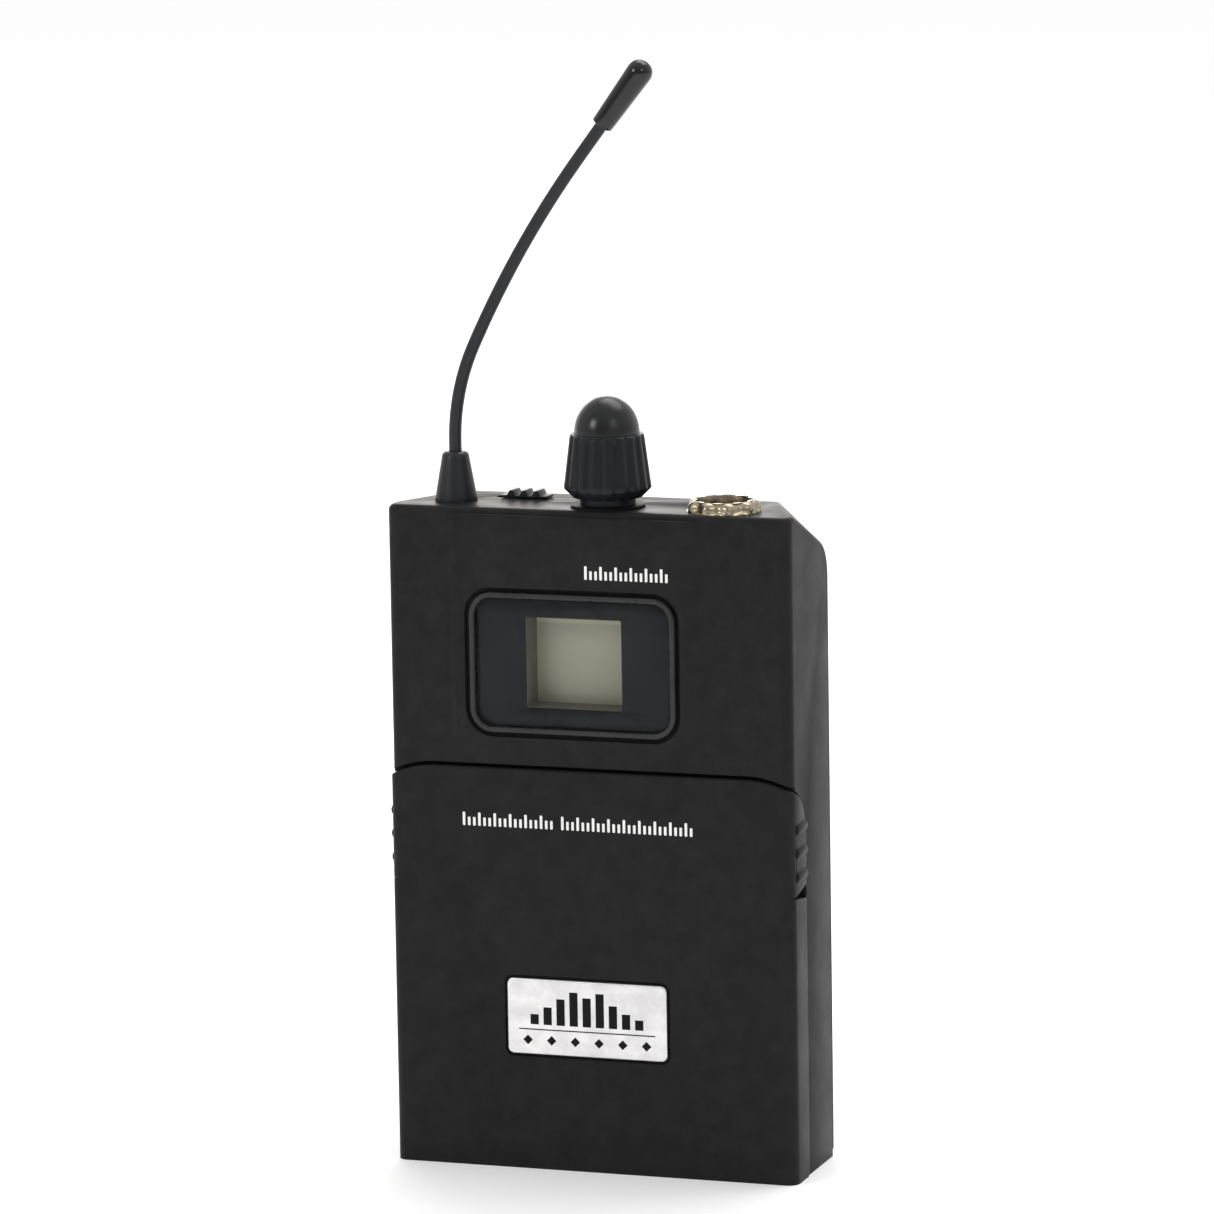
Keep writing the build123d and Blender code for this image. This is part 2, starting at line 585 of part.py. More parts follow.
with BuildPart() as lcd_frame:
    rounded_plate(RECESS_FLOOR, (LCD_X, LCD_Z), 20.8, 16.6, 0.8, 2.0)
    rounded_plate(INNER_FRONT + 0.05, (LCD_X, LCD_Z), 25.0, 20.0, 0.8, LCD_REAR - INNER_FRONT - 0.05)
    rounded_plate(-12, (LCD_X, LCD_Z), LCD_WIDTH, LCD_HEIGHT, 0.3, 12, mode=Mode.SUBTRACT)
    rounded_plate(LCD_FACE - 0.05, (LCD_X, LCD_Z), 20.0, 17.0, 0.3, 12, mode=Mode.SUBTRACT)
lcd_frame.part.label = "lcd_frame"
export_step(lcd_frame.part, "parts/lcd_frame.step")

with BuildPart() as lcd_panel:
    rounded_plate(LCD_FACE, (LCD_X, LCD_Z), 19.8, 16.8, 0.3, LCD_REAR - LCD_FACE)
lcd_panel.part.label = "lcd_panel"
export_step(lcd_panel.part, "parts/lcd_panel.step")

with BuildPart() as lcd_backlight:
    rounded_plate(LCD_REAR + 0.05, (LCD_X, LCD_Z), 24.0, 19.0, 0.5, 1.0)
lcd_backlight.part.label = "lcd_backlight"
export_step(lcd_backlight.part, "parts/lcd_backlight.step")

# ---- electronics ----
with BuildPart() as main_board:
    block((-26.8, BOARD_Y, 65.4), (26.8, BOARD_Y + BOARD_THICKNESS, 93.5))
    for x, z in BOARD_POSTS:
        rod((x, BOARD_Y - 1, z), (0, 1, 0), 1.1, 5, mode=Mode.SUBTRACT)
main_board.part.label = "main_board"
export_step(main_board.part, "parts/main_board.step")

with BuildPart() as shield_can:
    can_y = BOARD_Y + BOARD_THICKNESS
    block((-19.0, can_y, 69.0), (3.0, can_y + 3.0, 90.0))
    fillet(shield_can.edges().filter_by(Axis.Y), 0.8)
    block((-18.6, can_y - 1, 69.4), (2.6, can_y + 2.6, 89.6), mode=Mode.SUBTRACT)
shield_can.part.label = "shield_can"
export_step(shield_can.part, "parts/shield_can.step")

with BuildPart() as board_screws:
    for x, z in BOARD_POSTS:
        rod((x, -1.0, z), (0, 1, 0), 0.8, BOARD_Y + BOARD_THICKNESS + 1.0)
        rod((x, BOARD_Y + BOARD_THICKNESS, z), (0, 1, 0), 1.8, 1.2)
board_screws.part.label = "board_screws"
export_step(board_screws.part, "parts/board_screws.step")

# ---- antenna ----
with BuildPart() as antenna_terminal:
    rod((ANTENNA_X, ANTENNA_Y, 98.0), (0, 0, 1), 1.5, 8.4)
    rod((ANTENNA_X, ANTENNA_Y, 101.6), (0, 0, 1), 2.3, 1.0)
antenna_terminal.part.label = "antenna_terminal"
export_step(antenna_terminal.part, "parts/antenna_terminal.step")

with BuildPart() as antenna_boot:
    with BuildSketch(Plane.XZ.offset(-ANTENNA_Y)) as boot_profile:
        with BuildLine():
            Polyline(
                (ANTENNA_X, BODY_HEIGHT),
                (ANTENNA_X + BOOT_RADIUS_LOW, BODY_HEIGHT),
                (ANTENNA_X + BOOT_RADIUS_HIGH, BOOT_TOP - 0.5),
                (ANTENNA_X + BOOT_RADIUS_HIGH - 0.5, BOOT_TOP),
                (ANTENNA_X, BOOT_TOP),
                close=True,
            )
        make_face()
    revolve(axis=Axis((ANTENNA_X, ANTENNA_Y, 0), (0, 0, 1)))
    rod((ANTENNA_X, ANTENNA_Y, BODY_HEIGHT - 1), (0, 0, 1), 1.5, 3.0, mode=Mode.SUBTRACT)
    rod((ANTENNA_X, ANTENNA_Y, BOOT_TOP - 4), (0, 0, 1), WHIP_RADIUS, 6, mode=Mode.SUBTRACT)
antenna_boot.part.label = "antenna_boot"
export_step(antenna_boot.part, "parts/antenna_boot.step")

with BuildPart() as antenna_whip:
    with BuildLine(Plane.XZ.offset(-ANTENNA_Y)) as whip_path:
        root = Line((ANTENNA_X, BOOT_TOP - 4), (ANTENNA_X, BOOT_TOP + WHIP_STRAIGHT))
        low_bend = JernArc(root @ 1, root % 1, WHIP_LOW_BEND[0], -WHIP_LOW_BEND[1])
        high_bend = JernArc(low_bend @ 1, low_bend % 1, WHIP_HIGH_BEND[0], -WHIP_HIGH_BEND[1])
        end_run = Line(high_bend @ 1, (high_bend @ 1) + (high_bend % 1) * WHIP_END_RUN)
    with BuildSketch(Plane(origin=(ANTENNA_X, ANTENNA_Y, BOOT_TOP - 4), z_dir=(0, 0, 1))):
        Circle(WHIP_RADIUS)
    sweep(path=whip_path.line)
antenna_whip.part.label = "antenna_whip"
export_step(antenna_whip.part, "parts/antenna_whip.step")

tip_start = whip_path.line @ 1
tip_direction = whip_path.line % 1
with BuildPart() as antenna_tip:
    with BuildSketch(Plane.XZ) as tip_profile:
        with BuildLine():
            side_line = Line((1.7, 0), (2.05, TIP_LENGTH - 2.05))
            cap = RadiusArc((2.05, TIP_LENGTH - 2.05), (0, TIP_LENGTH), -2.05)
            Polyline((0, TIP_LENGTH), (0, 0), (1.7, 0))
        make_face()
    revolve(axis=Axis.Z)
    rod((0, 0, -1), (0, 0, 1), WHIP_RADIUS, 5.0, mode=Mode.SUBTRACT)
tip_place = Plane(origin=tip_start - tip_direction * 4.0, z_dir=tip_direction)
antenna_tip_placed = tip_place.location * antenna_tip.part
antenna_tip_placed.label = "antenna_tip"
export_step(antenna_tip_placed, "parts/antenna_tip.step")

# ---- volume knob and its potentiometer ----
with BuildPart() as knob_washer:
    rod((KNOB_X, KNOB_Y, BODY_HEIGHT), (0, 0, 1), 5.8, 0.4)
    rod((KNOB_X, KNOB_Y, BODY_HEIGHT - 1), (0, 0, 1), 3.05, 3, mode=Mode.SUBTRACT)
knob_washer.part.label = "knob_washer"
export_step(knob_washer.part, "parts/knob_washer.step")

with BuildPart() as pot_nut:
    rod((KNOB_X, KNOB_Y, BODY_HEIGHT + 0.4), (0, 0, 1), 4.3, 0.95)
    rod((KNOB_X, KNOB_Y, BODY_HEIGHT - 1), (0, 0, 1), 3.0, 5, mode=Mode.SUBTRACT)
pot_nut.part.label = "pot_nut"
export_step(pot_nut.part, "parts/pot_nut.step")

with BuildPart() as pot_body:
    block((KNOB_X - 4.75, INNER_FRONT + 0.1, 96.0), (KNOB_X + 4.75, KNOB_Y + 4.8, DECK_INSIDE))
    rod((KNOB_X, KNOB_Y, DECK_INSIDE - 0.1), (0, 0, 1), 3.0, BODY_HEIGHT + 1.35 - DECK_INSIDE + 0.1)
    rod((KNOB_X, KNOB_Y, 97.0), (0, 0, 1), 1.55, 20, mode=Mode.SUBTRACT)
pot_body.part.label = "pot_body"
export_step(pot_body.part, "parts/pot_body.step")

with BuildPart() as pot_shaft:
    rod((KNOB_X, KNOB_Y, 97.1), (0, 0, 1), 1.5, 14.9)
pot_shaft.part.label = "pot_shaft"
export_step(pot_shaft.part, "parts/pot_shaft.step")

with BuildPart() as knob_skirt:
    with BuildSketch(Plane.XZ.offset(-KNOB_Y)) as skirt_profile:
        with BuildLine():
            Polyline(
                (KNOB_X, SKIRT_BOTTOM),
                (KNOB_X + 5.4, SKIRT_BOTTOM),
                (KNOB_X + SKIRT_RADIUS_LOW, SKIRT_BOTTOM + 1.45),
                (KNOB_X + SKIRT_RADIUS_HIGH, SKIRT_TOP - 0.4),
                (KNOB_X + SKIRT_RADIUS_HIGH - 0.4, SKIRT_TOP),
                (KNOB_X, SKIRT_TOP),
                close=True,
            )
        make_face()
    revolve(axis=Axis((KNOB_X, KNOB_Y, 0), (0, 0, 1)))
    # shallow flutes that leave narrow ridges between them
    for index in range(FLUTES):
        angle = 2 * math.pi * index / FLUTES
        x = KNOB_X + (SKIRT_RADIUS_LOW + 0.55) * math.cos(angle)
        y = KNOB_Y + (SKIRT_RADIUS_LOW + 0.55) * math.sin(angle)
        lean = (-0.06 * math.cos(angle), -0.06 * math.sin(angle), 1)
        rod((x, y, SKIRT_BOTTOM - 0.5), lean, 0.95, 12, mode=Mode.SUBTRACT)
    rod((KNOB_X, KNOB_Y, SKIRT_BOTTOM - 1), (0, 0, 1), 1.5, 112.0 - SKIRT_BOTTOM + 1, mode=Mode.SUBTRACT)
knob_skirt.part.label = "knob_skirt"
export_step(knob_skirt.part, "parts/knob_skirt.step")

with BuildPart() as knob_dome:
    with BuildSketch(Plane.XZ.offset(-KNOB_Y)) as dome_profile:
        with BuildLine():
            Bezier(
                (KNOB_X + DOME_RADIUS, SKIRT_TOP),
                (KNOB_X + DOME_RADIUS - 0.3, SKIRT_TOP + 3.4),
                (KNOB_X + 3.0, DOME_TOP),
                (KNOB_X, DOME_TOP),
            )
            Polyline((KNOB_X, DOME_TOP), (KNOB_X, SKIRT_TOP), (KNOB_X + DOME_RADIUS, SKIRT_TOP))
        make_face()
    revolve(axis=Axis((KNOB_X, KNOB_Y, 0), (0, 0, 1)))
knob_dome.part.label = "knob_dome"
export_step(knob_dome.part, "parts/knob_dome.step")

# ---- slide switch ----
with BuildPart() as switch_slider:
    half = SWITCH_LENGTH / 2
    block(
        (SWITCH_X - half, SWITCH_Y - SWITCH_WIDTH / 2, BODY_HEIGHT + 0.1),
        (SWITCH_X + half, SWITCH_Y + SWITCH_WIDTH / 2, BODY_HEIGHT + 0.5),
    )
    for step in (-1, 0, 1):
        x = SWITCH_X + step * 2.05
        with BuildSketch(Plane.XZ.offset(-(SWITCH_Y - SWITCH_WIDTH / 2))) as ridge:
            with BuildLine():
                Polyline(
                    (x - 0.75, BODY_HEIGHT + 0.4),
                    (x + 0.75, BODY_HEIGHT + 0.4),
                    (x + 0.3, BODY_HEIGHT + 1.3),
                    (x - 0.3, BODY_HEIGHT + 1.3),
                    close=True,
                )
            make_face()
        extrude(ridge.sketch, amount=-SWITCH_WIDTH)
    block((SWITCH_X - 1.5, SWITCH_Y - 0.6, 100.6), (SWITCH_X + 1.5, SWITCH_Y + 0.6, BODY_HEIGHT + 0.2))
switch_slider.part.label = "switch_slider"
export_step(switch_slider.part, "parts/switch_slider.step")

with BuildPart() as switch_body:
    block((SWITCH_X - 6.5, SWITCH_Y - 2.4, 97.0), (SWITCH_X + 3.5, SWITCH_Y + 2.4, DECK_INSIDE))
    block(
        (SWITCH_X - 1.8 - SWITCH_TRAVEL, SWITCH_Y - 0.9, 100.0),
        (SWITCH_X + 1.8, SWITCH_Y + 0.9, 110),
        mode=Mode.SUBTRACT,
    )
switch_body.part.label = "switch_body"
export_step(switch_body.part, "parts/switch_body.step")

# ---- microphone socket ----
with BuildPart() as socket_ring:
    rod((SOCKET_X, SOCKET_Y, BODY_HEIGHT), (0, 0, 1), RING_RADIUS, RING_HEIGHT)
    fillet(edges_at(socket_ring.part, lambda c: c.Z > BODY_HEIGHT + RING_HEIGHT - 0.01), 0.4)
    rod((SOCKET_X, SOCKET_Y, BODY_HEIGHT - 1), (0, 0, 1), RING_BORE, 6, mode=Mode.SUBTRACT)
    for index in range(RING_SLOTS):
        angle = 2 * math.pi * (index + 0.5) / RING_SLOTS
        x = SOCKET_X + (RING_RADIUS + 0.15) * math.cos(angle)
        y = SOCKET_Y + (RING_RADIUS + 0.15) * math.sin(angle)
        rod((x, y, BODY_HEIGHT + 0.5), (0, 0, 1), 0.85, 4, mode=Mode.SUBTRACT)
socket_ring.part.label = "socket_ring"
export_step(socket_ring.part, "parts/socket_ring.step")

with BuildPart() as socket_shell:
    rod((SOCKET_X, SOCKET_Y, 95.0), (0, 0, 1), SHELL_RADIUS, BODY_HEIGHT - 95.0)
    rod((SOCKET_X, SOCKET_Y, 94.0), (0, 0, 1), SHELL_BORE, 12, mode=Mode.SUBTRACT)
socket_shell.part.label = "socket_shell"
export_step(socket_shell.part, "parts/socket_shell.step")

with BuildPart() as socket_insert:
    rod((SOCKET_X, SOCKET_Y, 95.0), (0, 0, 1), SHELL_BORE, 3.0)
    for index in range(4):
        angle = math.pi / 4 + index * math.pi / 2
        x = SOCKET_X + 2.0 * math.cos(angle)
        y = SOCKET_Y + 2.0 * math.sin(angle)
        rod((x, y, 94), (0, 0, 1), 0.5, 6, mode=Mode.SUBTRACT)
socket_insert.part.label = "socket_insert"
export_step(socket_insert.part, "parts/socket_insert.step")

with BuildPart() as socket_pins:
    for index in range(4):
        angle = math.pi / 4 + index * math.pi / 2
        x = SOCKET_X + 2.0 * math.cos(angle)
        y = SOCKET_Y + 2.0 * math.sin(angle)
        rod((x, y, 94.0), (0, 0, 1), 0.5, 9.2)
socket_pins.part.label = "socket_pins"
export_step(socket_pins.part, "parts/socket_pins.step")

# ---- belt clip ----
with BuildPart() as clip_bracket:
    block((-CLIP_HALF, BACK, 77.0), (CLIP_HALF, BACK + 1.0, 92.0))
    for side in (-1, 1):
        inner, outer = sorted((side * (CLIP_HALF - 1.4), side * CLIP_HALF))
        block((inner, BACK, CLIP_PIN_Z - 2.6), (outer, CLIP_PIN_Y, CLIP_PIN_Z + 2.6))
        rod((side * (CLIP_HALF - 1.4), CLIP_PIN_Y, CLIP_PIN_Z), (side, 0, 0), 2.6, 1.4)
    rod((-20, CLIP_PIN_Y, CLIP_PIN_Z), (1, 0, 0), 1.0, 40, mode=Mode.SUBTRACT)
    for x in (-5.0, 5.0):
        rod((x, BACK - 1, 80.5), (0, 1, 0), 1.1, 4, mode=Mode.SUBTRACT)
clip_bracket.part.label = "clip_bracket"
export_step(clip_bracket.part, "parts/clip_bracket.step")

with BuildPart() as clip_pin:
    rod((-CLIP_HALF - 0.3, CLIP_PIN_Y, CLIP_PIN_Z), (1, 0, 0), 1.0, 2 * CLIP_HALF + 0.6)
clip_pin.part.label = "clip_pin"
export_step(clip_pin.part, "parts/clip_pin.step")

with BuildPart() as clip_screws:
    for x in (-5.0, 5.0):
        rod((x, COVER_PLANE + 0.1, 80.5), (0, 1, 0), 1.05, BACK + 1.0 - COVER_PLANE - 0.1)
        rod((x, BACK + 1.0, 80.5), (0, 1, 0), 2.0, 1.0)
clip_screws.part.label = "clip_screws"
export_step(clip_screws.part, "parts/clip_screws.step")

KNUCKLE = 2.0
BLADE_OUTER = CLIP_PIN_Y + KNUCKLE
with BuildPart() as belt_clip:
    for side in (-1, 1):
        rod((side * 2.6, CLIP_PIN_Y, CLIP_PIN_Z), (side, 0, 0), KNUCKLE, 4.7)
    with BuildSketch(facing_side(-CLIP_HALF + 1.7)) as upper_blade:
        with BuildLine():
            Polyline(
                (BLADE_OUTER, CLIP_PIN_Z),
                (BLADE_OUTER, CLIP_PIN_Z - 8.0),
                (BLADE_OUTER - CLIP_SHEET, CLIP_PIN_Z - 8.0),
                (BLADE_OUTER - CLIP_SHEET, CLIP_PIN_Z),
                close=True,
            )
        make_face()
    extrude(upper_blade.sketch, amount=2 * (CLIP_HALF - 1.7))
    block((-2.4, 0, CLIP_PIN_Z - 2.3), (2.4, 40, CLIP_PIN_Z + 4), mode=Mode.SUBTRACT)
    with BuildSketch(facing_side(-CLIP_HALF)) as lower_blade:
        with BuildLine():
            Polyline(
                (BLADE_OUTER, CLIP_PIN_Z - 6.0),
                (BLADE_OUTER, CLIP_BOTTOM + 4.0),
                (BLADE_OUTER - 4.0, CLIP_BOTTOM + 1.5),
                (BLADE_OUTER - 1.5, CLIP_BOTTOM - 1.5),
                (BLADE_OUTER - 2.4, CLIP_BOTTOM - 2.2),
                (BLADE_OUTER - 5.6, CLIP_BOTTOM + 1.6),
                (BLADE_OUTER - CLIP_SHEET, CLIP_BOTTOM + 4.8),
                (BLADE_OUTER - CLIP_SHEET, CLIP_PIN_Z - 6.0),
                close=True,
            )
        make_face()
    extrude(lower_blade.sketch, amount=2 * CLIP_HALF)
    rod((-20, CLIP_PIN_Y, CLIP_PIN_Z), (1, 0, 0), 1.05, 40, mode=Mode.SUBTRACT)
belt_clip.part.label = "belt_clip"
export_step(belt_clip.part, "parts/belt_clip.step")

with BuildPart() as clip_spring:
    with BuildLine() as clip_coil:
        Helix(pitch=1.0, height=4.0, radius=1.5, center=(-2.0, CLIP_PIN_Y, CLIP_PIN_Z), direction=(1, 0, 0))
    with BuildSketch(Plane(origin=clip_coil.line @ 0, z_dir=clip_coil.line % 0)):
        Circle(0.3)
    sweep(path=clip_coil.line)
clip_spring.part.label = "clip_spring"
export_step(clip_spring.part, "parts/clip_spring.step")
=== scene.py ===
import json
import math

import bmesh
import bpy
from mathutils import Matrix, Vector

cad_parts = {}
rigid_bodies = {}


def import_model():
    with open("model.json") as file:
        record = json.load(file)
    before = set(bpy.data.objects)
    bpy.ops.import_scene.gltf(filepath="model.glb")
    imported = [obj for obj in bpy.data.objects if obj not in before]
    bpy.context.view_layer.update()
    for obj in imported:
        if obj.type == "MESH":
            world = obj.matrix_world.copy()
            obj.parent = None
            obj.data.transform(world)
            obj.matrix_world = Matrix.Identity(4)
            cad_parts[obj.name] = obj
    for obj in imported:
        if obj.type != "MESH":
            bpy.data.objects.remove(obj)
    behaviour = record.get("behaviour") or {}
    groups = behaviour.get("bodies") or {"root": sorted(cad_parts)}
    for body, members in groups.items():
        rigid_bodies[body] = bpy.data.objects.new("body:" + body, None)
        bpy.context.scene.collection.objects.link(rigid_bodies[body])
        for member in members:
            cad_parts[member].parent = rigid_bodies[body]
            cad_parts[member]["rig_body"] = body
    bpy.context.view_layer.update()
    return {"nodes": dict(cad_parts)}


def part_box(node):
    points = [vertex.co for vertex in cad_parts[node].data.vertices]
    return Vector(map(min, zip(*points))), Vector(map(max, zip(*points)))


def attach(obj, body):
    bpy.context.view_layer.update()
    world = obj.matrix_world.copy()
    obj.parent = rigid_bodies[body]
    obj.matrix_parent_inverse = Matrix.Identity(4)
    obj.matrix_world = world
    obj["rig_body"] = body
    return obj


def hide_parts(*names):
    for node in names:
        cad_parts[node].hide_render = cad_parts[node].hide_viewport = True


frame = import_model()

MM = 0.001
scene = bpy.context.scene
nodes = frame["nodes"]


# ---------------------------------------------------------------- materials

def new_material(name, color, roughness, metallic=0.0, **sockets):
    """A material with one Principled shader whose even values sit on its own sockets."""
    mat = bpy.data.materials.new(name)
    mat.use_nodes = True
    shader = mat.node_tree.nodes["Principled BSDF"]
    shader.inputs["Base Color"].default_value = (*color, 1)
    shader.inputs["Roughness"].default_value = roughness
    shader.inputs["Metallic"].default_value = metallic
    for socket, value in sockets.items():
        shader.inputs[socket.replace("_", " ")].default_value = value
    return mat


def noise(mat, scale, detail=2.0, rough=0.5, stretch=(1, 1, 1)):
    """A noise texture over object space, in metres."""
    tree = mat.node_tree
    coord = tree.nodes.new("ShaderNodeTexCoord")
    mapping = tree.nodes.new("ShaderNodeMapping")
    mapping.inputs["Scale"].default_value = stretch
    tree.links.new(coord.outputs["Object"], mapping.inputs["Vector"])
    texture = tree.nodes.new("ShaderNodeTexNoise")
    texture.inputs["Scale"].default_value = scale
    texture.inputs["Detail"].default_value = detail
    texture.inputs["Roughness"].default_value = rough
    tree.links.new(mapping.outputs["Vector"], texture.inputs["Vector"])
    return texture.outputs["Fac"]


def ramp(mat, source, low, high, color_low, color_high):
    """Turns a grey value into a blend of two colours between two positions."""
    node = mat.node_tree.nodes.new("ShaderNodeValToRGB")
    node.color_ramp.elements[0].position = low
    node.color_ramp.elements[1].position = high
    node.color_ramp.elements[0].color = (*color_low, 1)
    node.color_ramp.elements[1].color = (*color_high, 1)
    mat.node_tree.links.new(source, node.inputs["Fac"])
    return node.outputs["Color"]


def bump(mat, source, depth, strength=1.0):
    """Adds a height to the surface normal, on top of any height that is already there."""
    tree = mat.node_tree
    shader = tree.nodes["Principled BSDF"]
    node = tree.nodes.new("ShaderNodeBump")
    node.inputs["Distance"].default_value = depth
    node.inputs["Strength"].default_value = strength
    tree.links.new(source, node.inputs["Height"])
    if shader.inputs["Normal"].is_linked:
        before = shader.inputs["Normal"].links[0].from_socket
        tree.links.new(before, node.inputs["Normal"])
    tree.links.new(node.outputs["Normal"], shader.inputs["Normal"])


def vary(mat, socket, source, low, high):
    """Drives a shader value between low and high with a grey source."""
    tree = mat.node_tree
    node = tree.nodes.new("ShaderNodeMapRange")
    node.inputs["From Min"].default_value = 0.3
    node.inputs["From Max"].default_value = 0.7
    node.inputs["To Min"].default_value = low
    node.inputs["To Max"].default_value = high
    tree.links.new(source, node.inputs["Value"])
    tree.links.new(node.outputs["Result"], tree.nodes["Principled BSDF"].inputs[socket])


def tint(mat, scale, color_low, color_high):
    """Mottles the base colour between two close colours."""
    color = ramp(mat, noise(mat, scale, 3.0, 0.6), 0.35, 0.65, color_low, color_high)
    mat.node_tree.links.new(color, mat.node_tree.nodes["Principled BSDF"].inputs["Base Color"])


def moulded_plastic(name, color, roughness, grain=2600.0, depth=0.00002, spread=0.12, sheen=0.05):
    """Injection-moulded plastic: even colour, spark-eroded grain and faint handling marks."""
    mat = new_material(name, color, roughness, Specular_IOR_Level=sheen)
    darker = tuple(c * (1 - spread) for c in color)
    lighter = tuple(c * (1 + spread) for c in color)
    tint(mat, 300.0, darker, lighter)
    vary(mat, "Roughness", noise(mat, 140.0, 3.0, 0.6), roughness - 0.05, roughness + 0.05)
    bump(mat, noise(mat, grain, 2.0, 0.6), depth, 0.6)
    return mat


def gloss_plastic(name, color, roughness=0.08, **sockets):
    """Polished plastic with faint hairlines that only break up its reflections."""
    mat = new_material(name, color, roughness, **sockets)
    vary(mat, "Roughness", noise(mat, 500.0, 4.0, 0.7, (1, 1, 0.2)), roughness * 0.7, roughness * 1.5)
    tint(mat, 200.0, tuple(c * 0.85 for c in color), tuple(c * 1.15 for c in color))
    return mat


def metal(name, color, roughness, stretch=(1, 1, 1), grain=1500.0, depth=0.000006):
    """Plated or plain metal with a slight grain along one direction."""
    mat = new_material(name, color, roughness, metallic=1.0)
    tint(mat, 400.0, tuple(c * 0.9 for c in color), tuple(min(1, c * 1.06) for c in color))
    vary(mat, "Roughness", noise(mat, 900.0, 3.0, 0.6, stretch), roughness * 0.8, roughness * 1.3)
    bump(mat, noise(mat, grain, 2.0, 0.5, stretch), depth, 0.5)
    return mat


CHARCOAL = (0.0180, 0.0181, 0.0186)
housing_plastic = moulded_plastic("housing_charcoal", CHARCOAL, 0.42)
black_plastic = moulded_plastic("inner_black", (0.010, 0.010, 0.0105), 0.55)
knob_plastic = moulded_plastic(
    "knob_black", (0.0105, 0.0115, 0.0135), 0.36, grain=3500.0, depth=0.00001, sheen=0.2)
# the foot disc's black is darker than the other plastics: its own black plus painted shade under the knob
foot_black_and_shade = moulded_plastic("foot_black_and_shade", (0.006, 0.0063, 0.007), 0.5, depth=0.00001)
rubber_sheath = moulded_plastic(
    "antenna_sheath", (0.0150, 0.0158, 0.0182), 0.36, grain=4000.0, depth=0.000015, sheen=0.3)
cap_gloss = gloss_plastic("antenna_cap_gloss", (0.003, 0.0033, 0.0038), 0.06)
dome_gloss = gloss_plastic("dome_smoked", (0.006, 0.0065, 0.0075), 0.26, Specular_IOR_Level=0.4)
bezel_gloss = gloss_plastic("bezel_gloss", (0.023, 0.0225, 0.022), 0.3, Specular_IOR_Level=0.3)
mask_gloss = gloss_plastic("window_black", (0.0105, 0.012, 0.014), 0.2, Specular_IOR_Level=0.15)
button_grey = moulded_plastic("button_grey", (0.28, 0.28, 0.29), 0.5)
ink_white = moulded_plastic("ink_white", (0.86, 0.86, 0.85), 0.55, depth=0.000004, spread=0.04)
ink_black = moulded_plastic("ink_black", (0.012, 0.012, 0.012), 0.45, depth=0.000004)
lcd_surround = moulded_plastic("lcd_surround", (0.155, 0.152, 0.128), 0.5, depth=0.000004)
nickel = metal("warm_nickel", (0.38, 0.32, 0.23), 0.24, depth=0.000001)
steel = metal("plain_steel", (0.56, 0.56, 0.57), 0.3, (1, 1, 0.1))
tinned = metal("tinned_sheet", (0.68, 0.69, 0.68), 0.35)
gold = metal("gold_contact", (0.86, 0.64, 0.27), 0.22)
badge_silver = metal("badge_silver", (0.74, 0.73, 0.73), 0.32, (0.05, 1, 1), 2200.0, 0.000004)
clip_black = moulded_plastic("clip_coating", (0.016, 0.016, 0.017), 0.34, grain=1800.0, depth=0.00001)
screw_black = metal("black_oxide", (0.06, 0.06, 0.065), 0.38)
insert_black = moulded_plastic("insert_black", (0.02, 0.02, 0.021), 0.45)


# widths of the painted highlight bands along the display's right and top edges
LCD_RIGHT_HIGHLIGHT_BAND = 3.3 * MM
LCD_TOP_HIGHLIGHT_BAND = 2.9 * MM


def make_lcd():
    """A blank reflective grey-green display with painted light on it: it runs lighter upwards, as if lit
    from above, and painted highlights run along its right and top edges.
    """
    mat = new_material("lcd_blank", (0.26, 0.265, 0.20), 0.25)
    tree = mat.node_tree
    coord = tree.nodes.new("ShaderNodeTexCoord")
    split = tree.nodes.new("ShaderNodeSeparateXYZ")
    tree.links.new(coord.outputs["Object"], split.inputs["Vector"])
    low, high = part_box("lcd_panel")
    # painted light: the display's colour runs lighter towards its top, as if lit from above
    fade = tree.nodes.new("ShaderNodeMapRange")
    fade.inputs["From Min"].default_value = low.z
    fade.inputs["From Max"].default_value = high.z
    tree.links.new(split.outputs["Z"], fade.inputs["Value"])
    painted_light_field = ramp(mat, fade.outputs["Result"], 0.0, 1.0, (0.335, 0.335, 0.25), (0.395, 0.395, 0.305))
    # painted highlight: pale bands along the display's right and top edges
    right_highlight = tree.nodes.new("ShaderNodeMath")
    right_highlight.operation = "GREATER_THAN"
    right_highlight.inputs[1].default_value = high.x - LCD_RIGHT_HIGHLIGHT_BAND
    tree.links.new(split.outputs["X"], right_highlight.inputs[0])
    top_highlight = tree.nodes.new("ShaderNodeMath")
    top_highlight.operation = "GREATER_THAN"
    top_highlight.inputs[1].default_value = high.z - LCD_TOP_HIGHLIGHT_BAND
    tree.links.new(split.outputs["Z"], top_highlight.inputs[0])
    painted_highlight_mask = tree.nodes.new("ShaderNodeMath")
    painted_highlight_mask.operation = "MAXIMUM"
    tree.links.new(right_highlight.outputs["Value"], painted_highlight_mask.inputs[0])
    tree.links.new(top_highlight.outputs["Value"], painted_highlight_mask.inputs[1])
    with_painted_highlight = tree.nodes.new("ShaderNodeMixRGB")
    with_painted_highlight.inputs["Color2"].default_value = (0.50, 0.49, 0.345, 1)
    tree.links.new(painted_highlight_mask.outputs["Value"], with_painted_highlight.inputs["Fac"])
    tree.links.new(painted_light_field, with_painted_highlight.inputs["Color1"])
    tree.links.new(with_painted_highlight.outputs["Color"], tree.nodes["Principled BSDF"].inputs["Base Color"])
    bump(mat, noise(mat, 3000.0), 0.000003, 0.4)
    return mat


